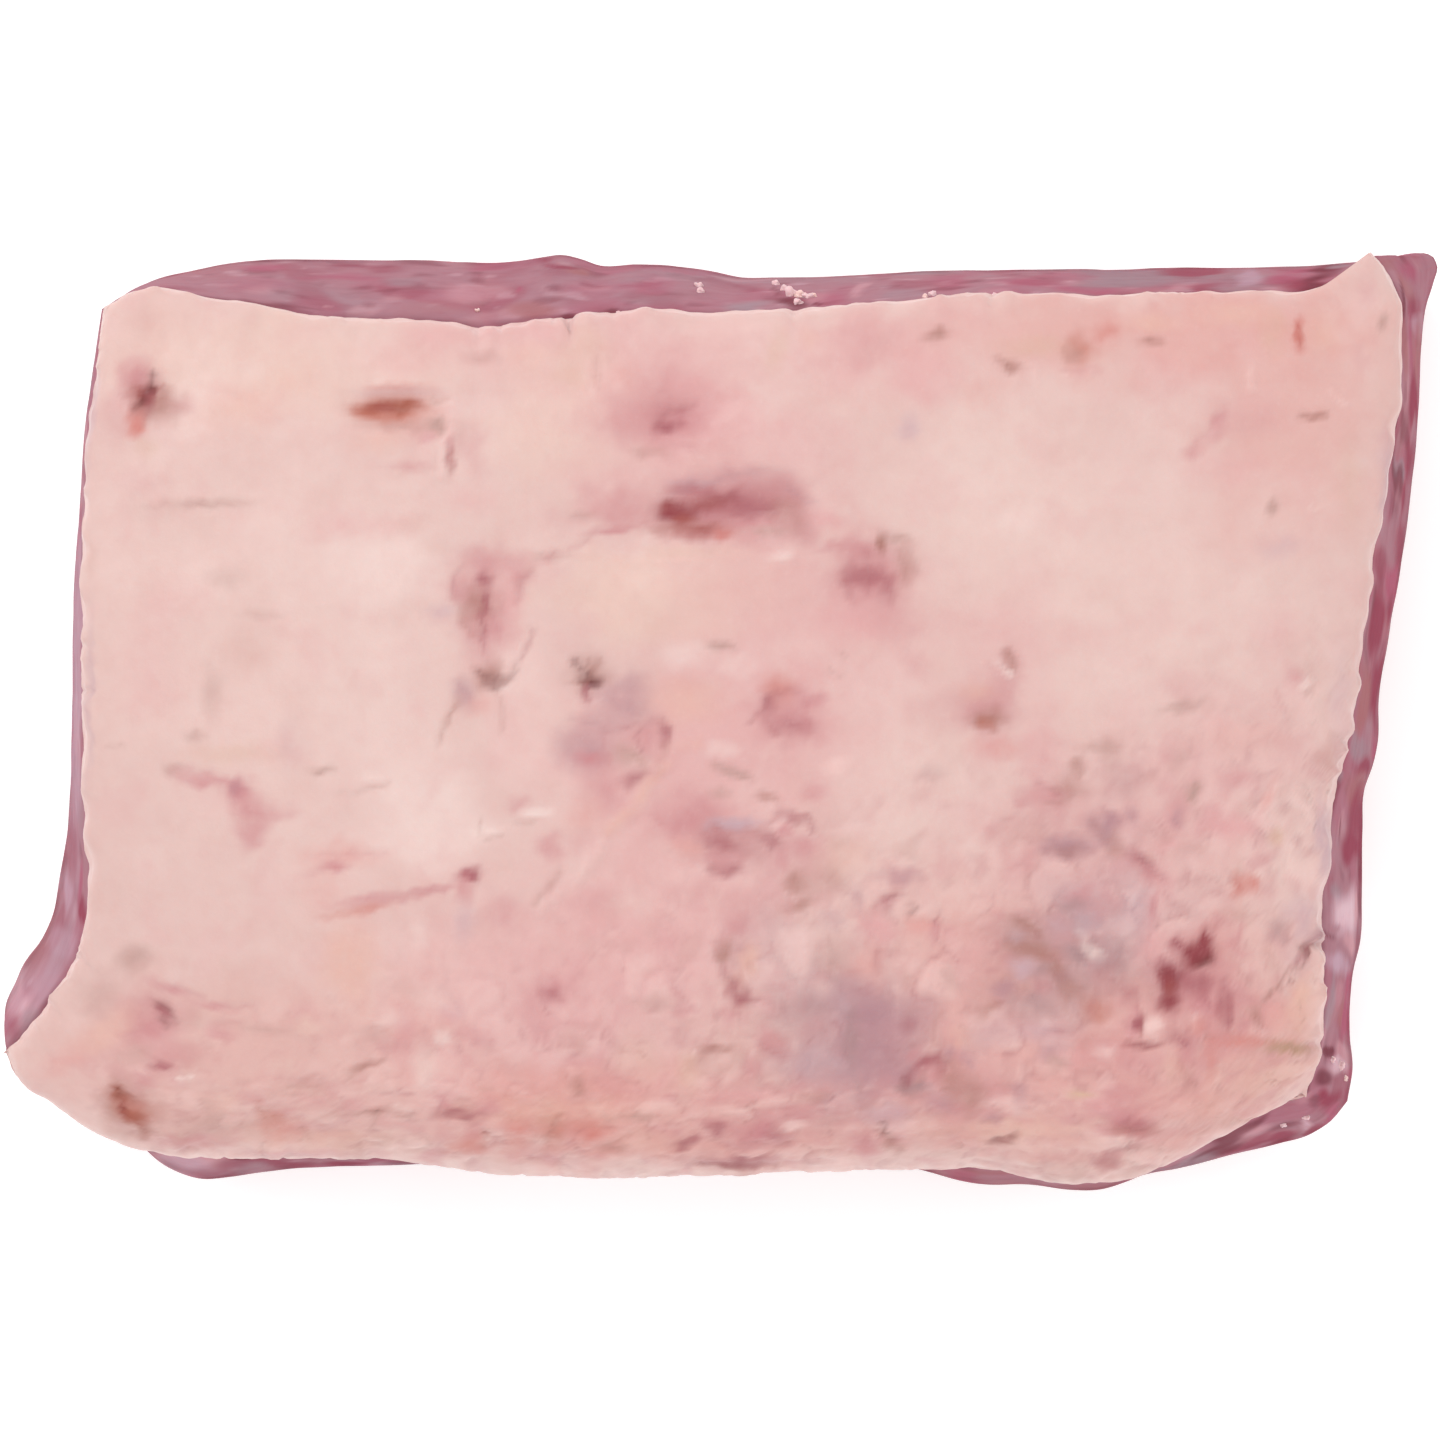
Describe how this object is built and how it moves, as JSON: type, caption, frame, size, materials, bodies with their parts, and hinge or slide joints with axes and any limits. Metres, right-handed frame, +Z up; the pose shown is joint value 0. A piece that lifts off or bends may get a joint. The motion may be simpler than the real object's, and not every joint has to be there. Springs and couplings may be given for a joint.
{
  "type": "beef silverside",
  "caption": "Butcher's block of raw beef silverside: pink lean with knife-cut sides under a rolled cap of cream fat, resting flat with the fat uppermost.",
  "frame": {"origin": "middle of the box's underside, on the flat cut face that the block rests on", "axes": "+X along the longest side, to the right of the picture; +Y towards the back cut side, where most lean shows; +Z up through the fat cap"},
  "size_m": [0.2404, 0.1569, 0.0667],
  "materials": {
    "lean": "satin",
    "fat": "satin"
  },
  "bodies": {
    "root": {"lean_muscle": "lean", "fat_cap": "fat"}
  },
  "joints": []
}
